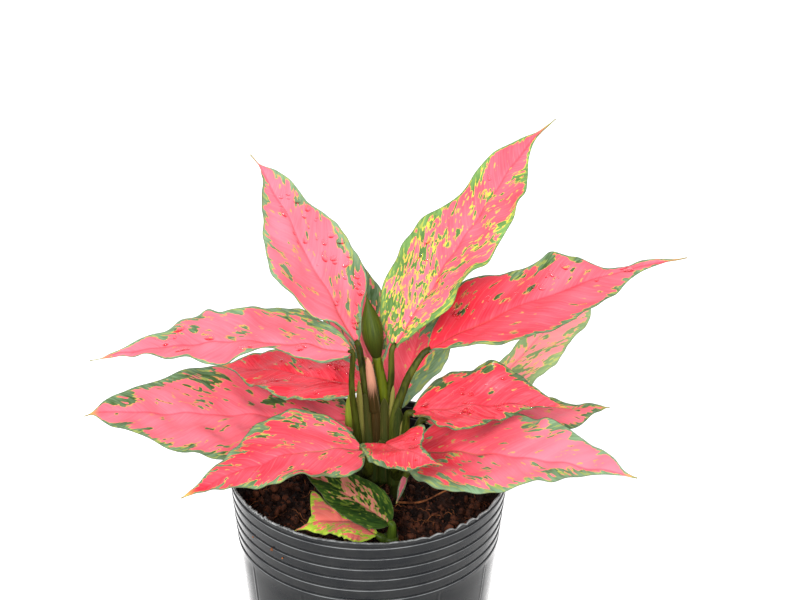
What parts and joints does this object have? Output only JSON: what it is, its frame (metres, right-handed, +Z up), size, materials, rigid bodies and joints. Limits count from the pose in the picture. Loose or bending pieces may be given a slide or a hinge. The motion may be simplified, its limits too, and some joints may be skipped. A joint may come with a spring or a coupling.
{
  "type": "potted chinese evergreen",
  "caption": "Bushy foliage plant with broad pointed pink and green leaves on short stems, a closed flower bud and dark soil, in a ribbed black plastic nursery pot.",
  "frame": {"origin": "centre of the pot's flat underside", "axes": "+Z up along the pot's axis, -Y towards the side the plant is seen from, +X to the right of that view; the pot opens along +Z"},
  "size_m": [0.317, 0.1818, 0.3033],
  "materials": {
    "pot": "thin black moulded plastic with a satin sheen, ribbed under the rim, with a rough trimmed edge",
    "soil": "dark reddish brown coco fibre and bark, lumpy and dull, with long loose fibres",
    "stem": "smooth dark green petioles and sheaths with a waxy gloss, yellow green where young",
    "leaf": "glossy pink blade with a grey green edge and green and yellow blotches along the side veins",
    "bud": "closed spathe, bright green with a brownish base, waxy",
    "sheath": "dry papery sheath, cream pink turning brown at its foot"
  },
  "bodies": {
    "root": {"pot": "pot", "soil": "soil", "shoot_left": "stem", "shoot_centre": "stem", "shoot_right": "stem", "shoot_front": "stem", "leaf_01": "leaf", "leaf_02": "leaf", "leaf_03": "leaf", "leaf_04": "leaf", "leaf_05": "leaf", "leaf_06": "leaf", "leaf_07": "leaf", "leaf_08": "leaf", "leaf_09": "leaf", "leaf_10": "leaf", "leaf_11": "leaf", "leaf_12": "leaf", "leaf_13": "leaf", "leaf_14": "leaf", "leaf_15": "leaf", "leaf_16": "leaf", "leaf_17": "leaf", "spathe_bud": "bud", "dry_sheath": "sheath"}
  },
  "joints": []
}
